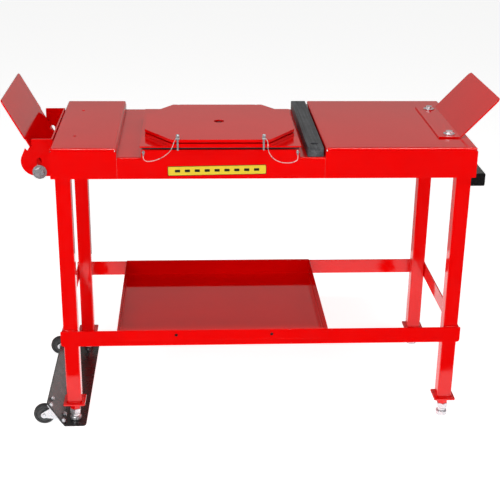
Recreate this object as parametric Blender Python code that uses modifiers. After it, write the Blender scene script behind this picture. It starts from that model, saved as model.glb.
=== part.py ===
"""Engine stand: a welded bench with a turntable, two end wings, a tray, levelling feet and tipping casters.

Metres, +Z up. X runs along the bench, Y from front to rear, and the origin is on the floor under its middle.
"""

import math

import bmesh
import bpy
from mathutils import Matrix, Vector

# Driving dimensions
LENGTH = 1.410
DEPTH = 0.635
HEIGHT = 1.024
APRON_HEIGHT = 0.104
PLATE = 0.0048
GAP = 0.0003
BEND_RADIUS = 0.010
LEG = 0.0508
LEG_WALL = 0.0032
LEG_END_INSET = 0.013

RECESS = 0.032
LEFT_RISER_X = -0.488
RIGHT_RISER_X = 0.1975

RAIL_TOP = 0.365
RAIL_HEIGHT = 0.057

TRAY_X = (-0.5065, 0.2310)
TRAY_SHEET = 0.0020
TRAY_FLOOR = 0.3085
TRAY_RIM_LOW = 0.3300
TRAY_SCREW_X = (-0.301, 0.033)
TRAY_SCREW_Z = 0.349
TRAY_SCREW_RADIUS = 0.0025

TABLE_X = -0.148
TABLE_Y = -0.0995
TABLE_PLATE = 0.0095
TABLE_HALF = (0.2506, 0.228)
TABLE_EDGE = (0.160, 0.099)
INDEX_BOTTOM = 1.0323
TABLE_BOTTOM = 1.0470
PIN_OFFSET = (0.140, 0.228)
PIN_RADIUS = 0.0032
LIP_TOP = 1.019
LIP_HALF = 0.260
PIVOT_PIN_RADIUS = 0.0172
BASE_HALF = (0.264, 0.240)
BASE_CENTRE_Y = -0.080
CABLE_RADIUS = 0.0012
ANCHOR_X = (-0.400, 0.104)
ANCHOR_Z = 1.0125

WING_HALF = 0.205
WING_ANGLE = math.radians(47.0)
WING_LENGTH = 0.183
RIGHT_BEND_X = 0.672
RIGHT_BOLT_X = 0.6385
RIGHT_BOLT_Y = 0.168
RIGHT_BOLT_RADIUS = 0.0060
PIVOT = (-0.7535, 0.910)
LEFT_WING_LEAN = math.radians(28.5)
LEFT_WING_LENGTH = 0.279
LEFT_WING_SHOULDER = 0.128
LEFT_WING_STANDOFF = 0.0192
LOBE_CENTRE = (-0.7660, 0.9440)
ARM_NOTCH = [(-0.7925, 0.9815), (-0.7995, 0.9905)]
LOBE_RADIUS = 0.050
PIVOT_RADIUS = 0.0070
SLOT_TRAVEL = 0.042
EAR_LEFT = -0.776
BRACKET_BOTTOM = 0.8945

FOOT_PLATE = 0.076
FOOT_PLATE_TOP = 0.081
FOOT_PLATE_THICK = 0.006
BOSS_BOTTOM = 0.049
STUD_RADIUS = 0.0095

CASTER_BRACKET_HALF = 0.338
CASTER_RADIUS = 0.038
CASTER_WIDTH = 0.024
CASTER_AXLE = (-0.7745, 0.0386)
CASTER_FOLD = (-0.7025, 0.0)
CASTER_INNER_X = -0.6260
CASTER_SLOPE_TOP = (-0.7615, 0.0950)
CASTER_Y = (-0.308, 0.229)
CASTER_SHEET = 0.0025
CASTER_BOLT_RADIUS = 0.0035
CASTER_BOLTS = [(along, side) for along in (0.0200, 0.0960) for side in (-1, 1)]

HANDLE_X = 0.7010
HANDLE_Z = (0.8745, 0.9190)
HANDLE_HALF = 0.265
HANDLE_OUT = 0.050
HANDLE_WALL = 0.0032

ORIGIN_SHIFT_X = 0.036198

half_length = LENGTH / 2
half_depth = DEPTH / 2
recess_z = HEIGHT - RECESS
apron_bottom = HEIGHT - APRON_HEIGHT
leg_outer_x = half_length - LEG_END_INSET
leg_outer_y = half_depth - PLATE - GAP
leg_centre_x = leg_outer_x - LEG / 2
leg_centre_y = leg_outer_y - LEG / 2
table_top = TABLE_BOTTOM + TABLE_PLATE
base_top = INDEX_BOTTOM - GAP
web_x = -half_length - GAP - PLATE
arm_half = WING_HALF - PLATE - 0.0015

for old in list(bpy.data.objects):
    bpy.data.objects.remove(old, do_unlink=True)

parts = bpy.data.collections.new("engine_stand")
cutters = bpy.data.collections.new("cutters")
bpy.context.scene.collection.children.link(parts)
bpy.context.scene.collection.children.link(cutters)
cutters.hide_render = True


# Materials


def material(name, colour, roughness, metallic=0.0):
    made = bpy.data.materials.new(name)
    made.use_nodes = True
    shader = made.node_tree.nodes["Principled BSDF"]
    shader.inputs["Base Color"].default_value = (*colour, 1.0)
    shader.inputs["Roughness"].default_value = roughness
    shader.inputs["Metallic"].default_value = metallic
    return made


RED_PAINT = ((0.75, 0.0, 0.0), 0.18, 0.0)
BLACK_PAINT = ((0.02, 0.02, 0.022), 0.35, 0.0)
ZINC = ((0.72, 0.74, 0.76), 0.28, 1.0)
DARK_STEEL = ((0.12, 0.12, 0.13), 0.4, 0.9)
RUBBER = ((0.03, 0.03, 0.032), 0.65, 0.0)
CABLE = ((0.85, 0.82, 0.80), 0.35, 0.4)


# Shapes


def keep(obj, finish):
    """Puts a finished piece in the stand's collection with its own material."""
    obj.data.materials.clear()
    obj.data.materials.append(material(obj.name, *finish))
    parts.objects.link(obj)


def put_origin(obj, place):
    """Moves an object's own origin to place, such as its joint's axis, and leaves its shape where it is."""
    obj.data.transform(Matrix.Translation(-Vector(place)))
    obj.location = place
    return obj


def object_from(bm, name):
    mesh = bpy.data.meshes.new(name)
    bm.to_mesh(mesh)
    bm.free()
    return bpy.data.objects.new(name, mesh)


def box(name, low, high):
    bm = bmesh.new()
    bmesh.ops.create_cube(bm, size=1.0)
    low, high = Vector(low), Vector(high)
    size = high - low
    bmesh.ops.scale(bm, vec=size, verts=bm.verts)
    bmesh.ops.translate(bm, vec=(low + high) / 2, verts=bm.verts)
    return object_from(bm, name)


def rounded_box(name, low, high, chosen, radius, segments=4):
    """A box whose edges picked by chosen(edge) are rounded."""
    made = box(name, low, high)
    bm = bmesh.new()
    bm.from_mesh(made.data)
    edges = [edge for edge in bm.edges if chosen(edge)]
    bmesh.ops.bevel(bm, geom=edges, offset=radius, segments=segments, profile=0.5, affect="EDGES")
    bm.to_mesh(made.data)
    bm.free()
    return made


def cylinder(name, centre, radius, depth, axis="Z", segments=32, top_radius=None):
    bm = bmesh.new()
    bmesh.ops.create_cone(
        bm,
        cap_ends=True,
        segments=segments,
        radius1=radius,
        radius2=radius if top_radius is None else top_radius,
        depth=depth,
    )
    if axis == "X":
        bmesh.ops.rotate(bm, matrix=Matrix.Rotation(math.pi / 2, 3, "Y"), verts=bm.verts)
    if axis == "Y":
        bmesh.ops.rotate(bm, matrix=Matrix.Rotation(-math.pi / 2, 3, "X"), verts=bm.verts)
    bmesh.ops.translate(bm, vec=Vector(centre), verts=bm.verts)
    return object_from(bm, name)


def turned(name, profile, place=(0.0, 0.0, 0.0), axis="Z", segments=36):
    """A solid of revolution: profile holds (radius, height) points, down the outer side from top to bottom."""
    bm = bmesh.new()
    points = [bm.verts.new((radius, 0.0, height)) for radius, height in profile]
    for first, second in zip(points, points[1:]):
        bm.edges.new((first, second))
    obj = object_from(bm, name)
    screw = obj.modifiers.new("Turn", "SCREW")
    screw.steps = segments
    screw.render_steps = segments
    screw.use_merge_vertices = True
    screw.merge_threshold = 0.00005
    if axis == "Y":
        obj.rotation_euler = (-math.pi / 2, 0.0, 0.0)
    obj.location = place
    return obj


def closed_ring(name, inner, outer, low, high, place, segments=36, axis="Z"):
    """A washer or sleeve, as a closed rectangular profile turned about its axis."""
    profile = [(inner, high), (outer, high), (outer, low), (inner, low), (inner, high)]
    return turned(name, profile, place, axis, segments)


def arc(centre, radius, start, end, steps):
    """Points along an arc, angles in degrees."""
    angles = [math.radians(start + (end - start) * step / steps) for step in range(steps + 1)]
    return [(centre[0] + radius * math.cos(a), centre[1] + radius * math.sin(a)) for a in angles]


def rounded(corners, radii, steps=4):
    """A closed outline whose corners are rounded by arcs; a radius of 0 keeps its corner sharp."""
    outline = []
    count = len(corners)
    for index, radius in enumerate(radii):
        here = Vector(corners[index])
        if radius == 0:
            outline.append(tuple(here))
            continue
        back = (Vector(corners[index - 1]) - here).normalized()
        onward = (Vector(corners[(index + 1) % count]) - here).normalized()
        half = back.angle(onward) / 2
        centre = here + (back + onward).normalized() * (radius / math.sin(half))
        start = here + back * (radius / math.tan(half)) - centre
        end = here + onward * (radius / math.tan(half)) - centre
        sweep = start.angle_signed(end)
        for step in range(steps + 1):
            turn = Matrix.Rotation(-sweep * step / steps, 2)
            outline.append(tuple(centre + turn @ start))
    return outline


def circle(centre, radius, segments=24):
    return arc(centre, radius, 0, 360 - 360 / segments, segments - 1)


def slot(centre_low, centre_high, radius, steps=8):
    """A vertical slot's outline, between the centres of its two round ends."""
    return arc(centre_low, radius, 180, 360, steps) + arc(centre_high, radius, 0, 180, steps)


def plate(name, outlines, thickness, place):
    """A flat plate from a 2D curve: the first outline is its edge and the others are holes."""
    curve = bpy.data.curves.new(name, "CURVE")
    curve.dimensions = "2D"
    curve.fill_mode = "BOTH"
    curve.extrude = thickness / 2
    for outline in outlines:
        spline = curve.splines.new("POLY")
        spline.points.add(len(outline) - 1)
        for point, (x, y) in zip(spline.points, outline):
            point.co = (x, y, 0.0, 1.0)
        spline.use_cyclic_u = True
    guide = bpy.data.objects.new(name + "_outline", curve)
    guide.matrix_world = place
    return mesh_from(guide, name)


def mesh_from(guide, name):
    """Turns a curve into a mesh object with welded caps, and removes the curve."""
    cutters.objects.link(guide)
    bpy.context.view_layer.update()
    evaluated = guide.evaluated_get(bpy.context.evaluated_depsgraph_get())
    mesh = bpy.data.meshes.new_from_object(evaluated)
    mesh.name = name
    mesh.transform(guide.matrix_world)
    bm = bmesh.new()
    bm.from_mesh(mesh)
    bmesh.ops.remove_doubles(bm, verts=bm.verts, dist=0.00002)
    bmesh.ops.recalc_face_normals(bm, faces=bm.faces)
    bm.to_mesh(mesh)
    bm.free()
    bpy.data.objects.remove(guide, do_unlink=True)
    return bpy.data.objects.new(name, mesh)


def combine(target, operation, others):
    """Adds one Boolean for each helper, which goes to the cutters' collection."""
    for other in others:
        other.name = f"{target.name}_{operation.lower()}_{len(target.modifiers)}"
        other.display_type = "WIRE"
        other.hide_render = True
        cutters.objects.link(other)
        step = target.modifiers.new(other.name, "BOOLEAN")
        step.operation = operation
        step.solver = "EXACT"
        step.object = other
    return target


FACING_FRONT = Matrix.Rotation(math.pi / 2, 4, "X")
ALONG_X = Matrix(((0, 0, 1, 0), (1, 0, 0, 0), (0, 1, 0, 0), (0, 0, 0, 1)))


def flat_at(z):
    """Outline in X and Y, lying at the height z."""
    return Matrix.Translation((0.0, 0.0, z))


def upright_at(y):
    """Outline in X and Z, standing at the depth y."""
    return Matrix.Translation((0.0, y, 0.0)) @ FACING_FRONT


def horizontal(edge, along, high):
    """True for a top edge that runs along X (0) or Y (1)."""
    first, second = edge.verts[0].co, edge.verts[1].co
    other = 1 - along
    level = abs(first.z - high) < 1e-6 and abs(second.z - high) < 1e-6
    return level and abs(first[other] - second[other]) < 1e-6


# Bench top


def deck(name, x_low, x_high, end_side, riser_side, hole_x, hole_radius):
    """A raised deck: one plate bent down at the front, the rear, the end and the riser beside the recess."""
    made = rounded_box(
        name,
        (x_low, -half_depth, apron_bottom),
        (x_high, half_depth, HEIGHT),
        lambda edge: horizontal(edge, 0, HEIGHT) or horizontal(edge, 1, HEIGHT),
        BEND_RADIUS,
    )
    inner = BEND_RADIUS - PLATE
    low_x, high_x = x_low + PLATE, x_high - PLATE
    hollow = rounded_box(
        name + "_hollow",
        (low_x, -half_depth + PLATE, apron_bottom - 0.02),
        (high_x, half_depth - PLATE, HEIGHT - PLATE),
        lambda edge: horizontal(edge, 0, HEIGHT - PLATE) or horizontal(edge, 1, HEIGHT - PLATE),
        inner,
    )
    riser_x = x_high if riser_side > 0 else x_low
    below_riser = box(
        name + "_below_riser",
        (riser_x - 0.012, -half_depth + PLATE, apron_bottom - 0.02),
        (riser_x + 0.012, half_depth - PLATE, recess_z - PLATE - GAP),
    )
    end_x = x_low if end_side < 0 else x_high
    reliefs = [
        cylinder("relief", (x, side * (half_depth - 0.003), HEIGHT - 0.0095), 0.0042, 0.030, "Y", 12)
        for x in (end_x - end_side * 0.0025, riser_x - riser_side * 0.0025)
        for side in (-1, 1)
    ]
    holes = [
        cylinder("hole", (hole_x, side * RIGHT_BOLT_Y, HEIGHT), hole_radius, 0.04, segments=24)
        for side in (-1, 1)
    ]
    combine(made, "DIFFERENCE", [hollow, below_riser] + reliefs + holes)
    keep(made, RED_PAINT)


def centre_deck():
    """The recessed deck, bent down at the front and rear, with a straight lip in front of the turntable."""
    x_low, x_high = LEFT_RISER_X + GAP, RIGHT_RISER_X - GAP
    made = rounded_box(
        "centre_deck",
        (x_low, -half_depth, apron_bottom),
        (x_high, half_depth, recess_z),
        lambda edge: horizontal(edge, 0, recess_z),
        BEND_RADIUS,
    )
    hollow = rounded_box(
        "hollow",
        (x_low - 0.01, -half_depth + PLATE, apron_bottom - 0.02),
        (x_high + 0.01, half_depth - PLATE, recess_z - PLATE),
        lambda edge: horizontal(edge, 0, recess_z - PLATE),
        BEND_RADIUS - PLATE,
    )
    lip = rounded_box(
        "lip",
        (TABLE_X - LIP_HALF, -half_depth, apron_bottom + 0.02),
        (TABLE_X + LIP_HALF, -half_depth + PLATE, LIP_TOP),
        lambda edge: abs(edge.verts[0].co.x - edge.verts[1].co.x) < 1e-6
        and abs(edge.verts[0].co.z - edge.verts[1].co.z) < 1e-6
        and edge.verts[0].co.z > HEIGHT - 0.02,
        0.004,
        3,
    )
    combine(made, "DIFFERENCE", [hollow])
    combine(made, "UNION", [lip])
    bore = cylinder("bore", (TABLE_X, TABLE_Y, recess_z), PIVOT_PIN_RADIUS + GAP, 0.04, segments=36)
    combine(made, "DIFFERENCE", [bore])
    keep(made, RED_PAINT)


# Legs, rails and feet

CORNERS = {"front_left": (-1, -1), "rear_left": (-1, 1), "front_right": (1, -1), "rear_right": (1, 1)}


def leg(name, side_x, side_y):
    x, y = side_x * leg_centre_x, side_y * leg_centre_y
    low, high = FOOT_PLATE_TOP + GAP, HEIGHT - BEND_RADIUS - GAP
    half, bore = LEG / 2, LEG / 2 - LEG_WALL
    corners = [(x - half, y - half), (x + half, y - half), (x + half, y + half), (x - half, y + half)]
    inside = [(x - bore, y - bore), (x + bore, y - bore), (x + bore, y + bore), (x - bore, y + bore)]
    outline = rounded(corners, [0.005] * 4)
    hole = rounded(inside, [0.002] * 4, 2)
    keep(plate("leg_" + name, [outline, hole], high - low, flat_at((low + high) / 2)), RED_PAINT)


def foot_plate(name, side_x, side_y):
    """The square plate under a leg, with the hexagonal threaded boss welded under it."""
    x, y = side_x * leg_centre_x, side_y * leg_centre_y
    half = FOOT_PLATE / 2
    corners = [(x - half, y - half), (x + half, y - half), (x + half, y + half), (x - half, y + half)]
    bottom = FOOT_PLATE_TOP - FOOT_PLATE_THICK
    middle = bottom + FOOT_PLATE_THICK / 2
    made = plate("foot_plate_" + name, [rounded(corners, [0.004] * 4, 3)], FOOT_PLATE_THICK, flat_at(middle))
    boss = cylinder("boss", (x, y, (BOSS_BOTTOM + middle) / 2), 0.0185, middle - BOSS_BOTTOM, segments=6)
    bore = cylinder("bore", (x, y, middle), STUD_RADIUS + GAP, 0.2, segments=24)
    combine(made, "UNION", [boss])
    combine(made, "DIFFERENCE", [bore])
    keep(made, RED_PAINT)


def foot_nut(name, side_x, side_y):
    """The lock nut against the boss, with chamfered corners."""
    x, y = side_x * leg_centre_x, side_y * leg_centre_y
    top, bottom = BOSS_BOTTOM - GAP, BOSS_BOTTOM - GAP - 0.0185
    made = cylinder("foot_nut_" + name, (x, y, (top + bottom) / 2), 0.0205, top - bottom, segments=6)
    profile = [
        (0.0, top + 0.001),
        (0.0170, top + 0.001),
        (0.0215, top - 0.0025),
        (0.0215, bottom + 0.0025),
        (0.0170, bottom - 0.001),
        (0.0, bottom - 0.001),
    ]
    chamfer = turned("chamfer", profile, (x, y, 0.0), segments=30)
    bore = cylinder("bore", (x, y, top), STUD_RADIUS + GAP, 0.2, segments=24)
    combine(made, "INTERSECT", [chamfer])
    combine(made, "DIFFERENCE", [bore])
    keep(made, ZINC)


def levelling_foot(name, side_x, side_y):
    """A threaded stud on a round pad; its own origin is on the stud's axis."""
    stand = PLATE + GAP if side_x < 0 else 0.0
    profile = [
        (0.0, 0.125),
        (STUD_RADIUS - 0.0015, 0.125),
        (STUD_RADIUS, 0.1235),
        (STUD_RADIUS, 0.0270),
        (0.0135, 0.0262),
        (0.0145, 0.0200),
        (0.0180, 0.0185),
        (0.0200, 0.0155),
        (0.0205, stand + 0.0020),
        (0.0190, stand),
        (0.0, stand),
    ]
    place = (side_x * leg_centre_x, side_y * leg_centre_y, 0.0)
    keep(turned("levelling_foot_" + name, profile, place, segments=28), ZINC)


def rails():
    """Four flat bars around the outside of the legs."""
    low, high = RAIL_TOP - RAIL_HEIGHT, RAIL_TOP
    reach = half_length - 0.0035
    cut = 0.010
    for name, side in (("front", -1), ("rear", 1)):
        corners = [(-reach, low), (reach, low), (reach, high), (-reach, high)]
        y = side * (half_depth - PLATE / 2)
        outline = rounded(corners, [cut, cut, 0.003, 0.003])
        made = plate("lower_rail_" + name, [outline], PLATE, upright_at(y))
        keep(made, RED_PAINT)
    inner_x = leg_outer_x + GAP
    for name, side in (("left", -1), ("right", 1)):
        half = half_depth - PLATE - 2 * GAP
        first, second = side * inner_x, side * (inner_x + PLATE)
        made = box(
            "lower_rail_" + name,
            (min(first, second), -half, low),
            (max(first, second), half, high),
        )
        keep(made, RED_PAINT)


def tray():
    """A pan that hangs on the front and rear rails by its folded rims."""
    x_low, x_high = TRAY_X
    sheet, floor = TRAY_SHEET, TRAY_FLOOR
    wall_y, rim_y = half_depth - PLATE - GAP, half_depth + GAP + sheet
    top = RAIL_TOP + GAP + sheet
    made = box("tray", (x_low, -wall_y, floor), (x_high, wall_y, top))
    hollow = rounded_box(
        "hollow",
        (x_low + sheet, -wall_y + sheet, floor + sheet),
        (x_high - sheet, wall_y - sheet, top + 0.02),
        lambda edge: edge.verts[0].co.z < floor + 0.01 and edge.verts[1].co.z < floor + 0.01,
        0.003,
        2,
    )
    combine(made, "DIFFERENCE", [hollow])
    for side in (-1, 1):
        section = [
            (side * (wall_y - 0.0005), top),
            (side * rim_y, top),
            (side * rim_y, TRAY_RIM_LOW),
            (side * (rim_y - sheet), TRAY_RIM_LOW),
            (side * (rim_y - sheet), top - sheet),
            (side * (wall_y - 0.0005), top - sheet),
        ]
        place = Matrix.Translation(((x_low + x_high) / 2, 0.0, 0.0)) @ ALONG_X
        rim = plate("rim", [section], x_high - x_low - 0.004, place)
        combine(made, "UNION", [rim])
    holes = [
        cylinder("hole", (x, -rim_y, TRAY_SCREW_Z), TRAY_SCREW_RADIUS + GAP, 0.008, "Y", 16)
        for x in TRAY_SCREW_X
    ]
    combine(made, "DIFFERENCE", holes)
    keep(made, RED_PAINT)


def tray_screws():
    head_y = -(half_depth + 2 * GAP + TRAY_SHEET)
    for name, x in zip(("left", "right"), TRAY_SCREW_X):
        profile = [
            (0.0, 0.0030),
            (0.0035, 0.0026),
            (0.0055, 0.0),
            (TRAY_SCREW_RADIUS, 0.0),
            (TRAY_SCREW_RADIUS, -0.0020),
            (0.0, -0.0020),
        ]
        made = turned("tray_screw_" + name, profile, (x, head_y, TRAY_SCREW_Z), segments=16)
        made.rotation_euler = (math.pi / 2, 0.0, 0.0)
        keep(made, ZINC)


# Turntable


def octagon():
    """The outline of both turntable plates."""
    quarter = [(TABLE_EDGE[0], TABLE_HALF[1]), (TABLE_HALF[0], TABLE_EDGE[1])]
    corners = []
    for turn_x, turn_y in ((1, 1), (1, -1), (-1, -1), (-1, 1)):
        pair = [(turn_x * x, turn_y * y) for x, y in quarter]
        corners += pair if turn_x * turn_y > 0 else pair[::-1]
    moved = [(TABLE_X + x, TABLE_Y + y) for x, y in corners]
    return rounded(moved, [0.004] * 8, 3)


def pin_places(sides_y=(-1, 1)):
    """Where the lock pins' notches are: two at the front of the octagon, two at its rear."""
    return [
        (TABLE_X + side_x * PIN_OFFSET[0], TABLE_Y + side_y * PIN_OFFSET[1])
        for side_y in sides_y
        for side_x in (-1, 1)
    ]


def turntable():
    centre = (TABLE_X, TABLE_Y)
    base_outline = [
        (TABLE_X + turn_x * BASE_HALF[0], BASE_CENTRE_Y + turn_y * BASE_HALF[1])
        for turn_x, turn_y in ((-1, -1), (1, -1), (1, 1), (-1, 1))
    ]
    base = plate(
        "turntable_base",
        [rounded(base_outline, [0.006] * 4, 3), circle(centre, PIVOT_PIN_RADIUS + GAP, 36)],
        PLATE,
        flat_at(base_top - PLATE / 2),
    )
    keep(base, RED_PAINT)

    for name, side in (("left", -1), ("right", 1)):
        x = TABLE_X + side * 0.215
        support = rounded_box(
            "turntable_support_" + name,
            (x - 0.019, BASE_CENTRE_Y - 0.205, recess_z + GAP),
            (x + 0.019, BASE_CENTRE_Y + 0.205, base_top - PLATE - GAP),
            lambda edge: abs(edge.verts[0].co.y - edge.verts[1].co.y) > 0.1,
            0.003,
            2,
        )
        keep(support, RED_PAINT)

    for name, low in (("index_plate", INDEX_BOTTOM), ("turntable_plate", TABLE_BOTTOM)):
        made = plate(
            name,
            [octagon(), circle(centre, PIVOT_PIN_RADIUS + GAP, 36)],
            TABLE_PLATE,
            flat_at(low + TABLE_PLATE / 2),
        )
        notches = [
            cylinder("notch", (x, y, low), PIN_RADIUS + 0.0004, 0.04, segments=24)
            for x, y in pin_places()
        ]
        combine(made, "DIFFERENCE", notches)
        keep(put_origin(made, (TABLE_X, TABLE_Y, low)), RED_PAINT)

    index_top = INDEX_BOTTOM + TABLE_PLATE
    bearing = closed_ring(
        "thrust_bearing",
        PIVOT_PIN_RADIUS + GAP,
        0.060,
        index_top + GAP,
        TABLE_BOTTOM - GAP,
        (TABLE_X, TABLE_Y, 0.0),
    )
    keep(bearing, DARK_STEEL)
    pin_top = table_top - 0.0055
    profile = [
        (0.0, pin_top - 0.0015),
        (PIVOT_PIN_RADIUS - 0.0050, pin_top - 0.0015),
        (PIVOT_PIN_RADIUS - 0.0035, pin_top),
        (PIVOT_PIN_RADIUS - 0.0010, pin_top),
        (PIVOT_PIN_RADIUS, pin_top - 0.0010),
        (PIVOT_PIN_RADIUS, recess_z - 0.0120),
        (0.0, recess_z - 0.0120),
    ]
    keep(turned("pivot_pin", profile, (TABLE_X, TABLE_Y, 0.0)), DARK_STEEL)


def lock_pins():
    """Two pins that stand in the notches of both octagons and keep the turntable from turning."""
    tip = LIP_TOP + 0.001
    head = table_top + GAP
    for name, (x, y) in zip(("left", "right"), pin_places((-1,))):
        profile = [
            (0.0, head + 0.0170),
            (0.0045, head + 0.0170),
            (0.0060, head + 0.0155),
            (0.0060, head + 0.0070),
            (0.0045, head + 0.0060),
            (0.0045, head + 0.0025),
            (0.0062, head + 0.0020),
            (0.0062, head),
            (PIN_RADIUS, head),
            (PIN_RADIUS, tip + 0.0012),
            (PIN_RADIUS - 0.0012, tip),
            (0.0, tip),
        ]
        keep(turned("lock_pin_" + name, profile, (x, y, 0.0), segments=20), ZINC)


# Lanyards

# Route of each cable, from its ferrule at the anchor to the neck of its pin: x, y and z by hand.
LANYARD_ROUTES = {
    "left": [
        (-0.4000, -0.3263, 1.0016),
        (-0.4000, -0.3275, 0.9960),
        (-0.3965, -0.3290, 0.9885),
        (-0.3850, -0.3305, 0.9845),
        (-0.3650, -0.3330, 0.9880),
        (-0.3430, -0.3395, 0.9985),
        (-0.3220, -0.3480, 1.0150),
        (-0.3080, -0.3530, 1.0330),
        (-0.3010, -0.3485, 1.0500),
        (-0.2953, -0.3383, 1.0608),
        (-0.2907, -0.3315, 1.0610),
    ],
    "right": [
        (0.1040, -0.3263, 1.0016),
        (0.1045, -0.3275, 0.9950),
        (0.1010, -0.3290, 0.9860),
        (0.0880, -0.3305, 0.9800),
        (0.0700, -0.3325, 0.9785),
        (0.0480, -0.3365, 0.9825),
        (0.0260, -0.3430, 0.9950),
        (0.0100, -0.3500, 1.0150),
        (0.0040, -0.3530, 1.0350),
        (0.0035, -0.3485, 1.0510),
        (-0.0007, -0.3383, 1.0608),
        (-0.0053, -0.3315, 1.0610),
    ],
}


def smooth_route(points, spacing):
    """A Catmull-Rom curve through the points, read off about every spacing metres."""
    stops = [Vector(point) for point in points]
    stops = [stops[0] * 2 - stops[1]] + stops + [stops[-1] * 2 - stops[-2]]
    route = [stops[1]]
    for index in range(1, len(stops) - 2):
        a, b, c, d = stops[index - 1 : index + 3]
        steps = max(2, round((c - b).length / spacing))
        for step in range(1, steps + 1):
            t = step / steps
            route.append(
                0.5
                * (
                    2 * b
                    + (c - a) * t
                    + (2 * a - 5 * b + 4 * c - d) * t**2
                    + (3 * b - a - 3 * c + d) * t**3
                )
            )
    return route


def tube(name, points, radius):
    curve = bpy.data.curves.new(name, "CURVE")
    curve.dimensions = "3D"
    curve.bevel_depth = radius
    curve.bevel_resolution = 2
    curve.use_fill_caps = True
    spline = curve.splines.new("POLY")
    spline.points.add(len(points) - 1)
    for point, place in zip(spline.points, points):
        point.co = (*place, 1.0)
    return bpy.data.objects.new(name, curve)


def lanyards():
    """Each cable runs from a ferrule on the lip to the neck of its pin."""
    for name, anchor_x in zip(("left", "right"), ANCHOR_X):
        route = smooth_route(LANYARD_ROUTES[name], 0.006)
        keep(tube("lanyard_" + name, route, CABLE_RADIUS), CABLE)
        face_y = -half_depth - GAP
        profile = [
            (0.0, 0.0085),
            (0.0040, 0.0085),
            (0.0052, 0.0070),
            (0.0052, 0.0),
            (0.0, 0.0),
        ]
        anchor = turned("lanyard_anchor_" + name, profile, (anchor_x, face_y, ANCHOR_Z), segments=20)
        anchor.rotation_euler = (math.pi / 2, 0.0, 0.0)
        ferrule = cylinder(
            "ferrule",
            (anchor_x, face_y - 0.0085, ANCHOR_Z - 0.0045),
            0.0026,
            0.0108,
            segments=16,
        )
        combine(anchor, "UNION", [ferrule])
        keep(anchor, ZINC)


def cross_bar():
    """The loose black bar across the recess, with a lifting hole near its front end."""
    x_high = RIGHT_RISER_X - 0.006
    middle_x = x_high - 0.027
    made = rounded_box(
        "cross_bar",
        (x_high - 0.054, -0.312, recess_z + GAP),
        (x_high, 0.312, HEIGHT),
        lambda edge: True,
        0.002,
        2,
    )
    hole = cylinder("hole", (middle_x, -0.263, HEIGHT), 0.0130, 0.100, segments=32)
    combine(made, "DIFFERENCE", [hole])
    keep(put_origin(made, (middle_x, 0.0, recess_z)), BLACK_PAINT)


# Wings


def bent_section(points, radii, thickness):
    """A bent sheet's section: a line thickened to its left, each bend given as (inner radius, 1 or 0).

    The 1 puts the larger radius of the bend on the line itself, and 0 on its other side.
    """
    line = [Vector(point) for point in points]
    normals = []
    for first, second in zip(line, line[1:]):
        along = (second - first).normalized()
        normals.append(Vector((-along.y, along.x)))
    offset = [line[0] + normals[0] * thickness]
    for before, after, corner in zip(normals, normals[1:], line[1:-1]):
        half = (before + after).normalized()
        offset.append(corner + half * (thickness / half.dot(before)))
    offset.append(line[-1] + normals[-1] * thickness)
    outer = [0] + [max(r + thickness * s, 0) for r, s in radii] + [0]
    inner = [0] + [max(r + thickness * (1 - s), 0) for r, s in radii] + [0]
    return rounded([tuple(p) for p in line + offset[::-1]], outer + inner[::-1])


def right_wing():
    """The fixed wing: a foot bolted to the right deck and a plate that leans outward."""
    base_z = HEIGHT + GAP
    foot_x = RIGHT_BEND_X - 0.0765
    tip = (
        RIGHT_BEND_X + math.cos(WING_ANGLE) * WING_LENGTH,
        base_z + math.sin(WING_ANGLE) * WING_LENGTH,
    )
    section = bent_section([(foot_x, base_z), (RIGHT_BEND_X, base_z), tip], [(0.004, 1)], PLATE)
    made = plate("right_wing", [section], 2 * WING_HALF, upright_at(0.0))
    bore = RIGHT_BOLT_RADIUS + GAP
    holes = [
        cylinder("hole", (RIGHT_BOLT_X, side * RIGHT_BOLT_Y, HEIGHT), bore, 0.06, segments=20)
        for side in (-1, 1)
    ]
    combine(made, "DIFFERENCE", corner_cuts(tip, WING_HALF, WING_ANGLE, 0.019) + holes)
    keep(made, RED_PAINT)


def corner_cuts(tip, half, lean, radius):
    """Cutters that round the two corners, half from the middle, of a plate whose end edge passes through tip."""
    outline = [(0.001, 0.001), (-radius, 0.001)] + arc((-radius, -radius), radius, 90, 0, 6)
    outline.append((0.001, -radius))
    cuts = []
    for side in (-1, 1):
        frame = (
            Matrix.Translation((tip[0], side * half, tip[1]))
            @ Matrix.Rotation(-lean, 4, "Y")
            @ Matrix(((1, 0, 0, 0), (0, side, 0, 0), (0, 0, 1, 0), (0, 0, 0, 1)))
        )
        cuts.append(plate("corner", [outline], 0.03, frame))
    return cuts


def right_wing_bolts():
    """Each bolt is one piece with its washer and with its nut under the deck."""
    top = HEIGHT + GAP + PLATE + GAP
    under = HEIGHT - PLATE - GAP
    for name, side in (("front", -1), ("rear", 1)):
        place = (RIGHT_BOLT_X, side * RIGHT_BOLT_Y)
        made = cylinder(
            "right_wing_bolt_" + name,
            (*place, (top + under - 0.0100) / 2),
            RIGHT_BOLT_RADIUS,
            top - under + 0.0280,
            segments=20,
        )
        washer = cylinder("washer", (*place, top + 0.00125), 0.0195, 0.0025, segments=28)
        head = cylinder("head", (*place, top + 0.0065), 0.0128, 0.0085, segments=6)
        nut = cylinder("nut", (*place, under - 0.0055), 0.0118, 0.0105, segments=6)
        combine(made, "UNION", [washer, head, nut])
        keep(made, ZINC)


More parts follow.
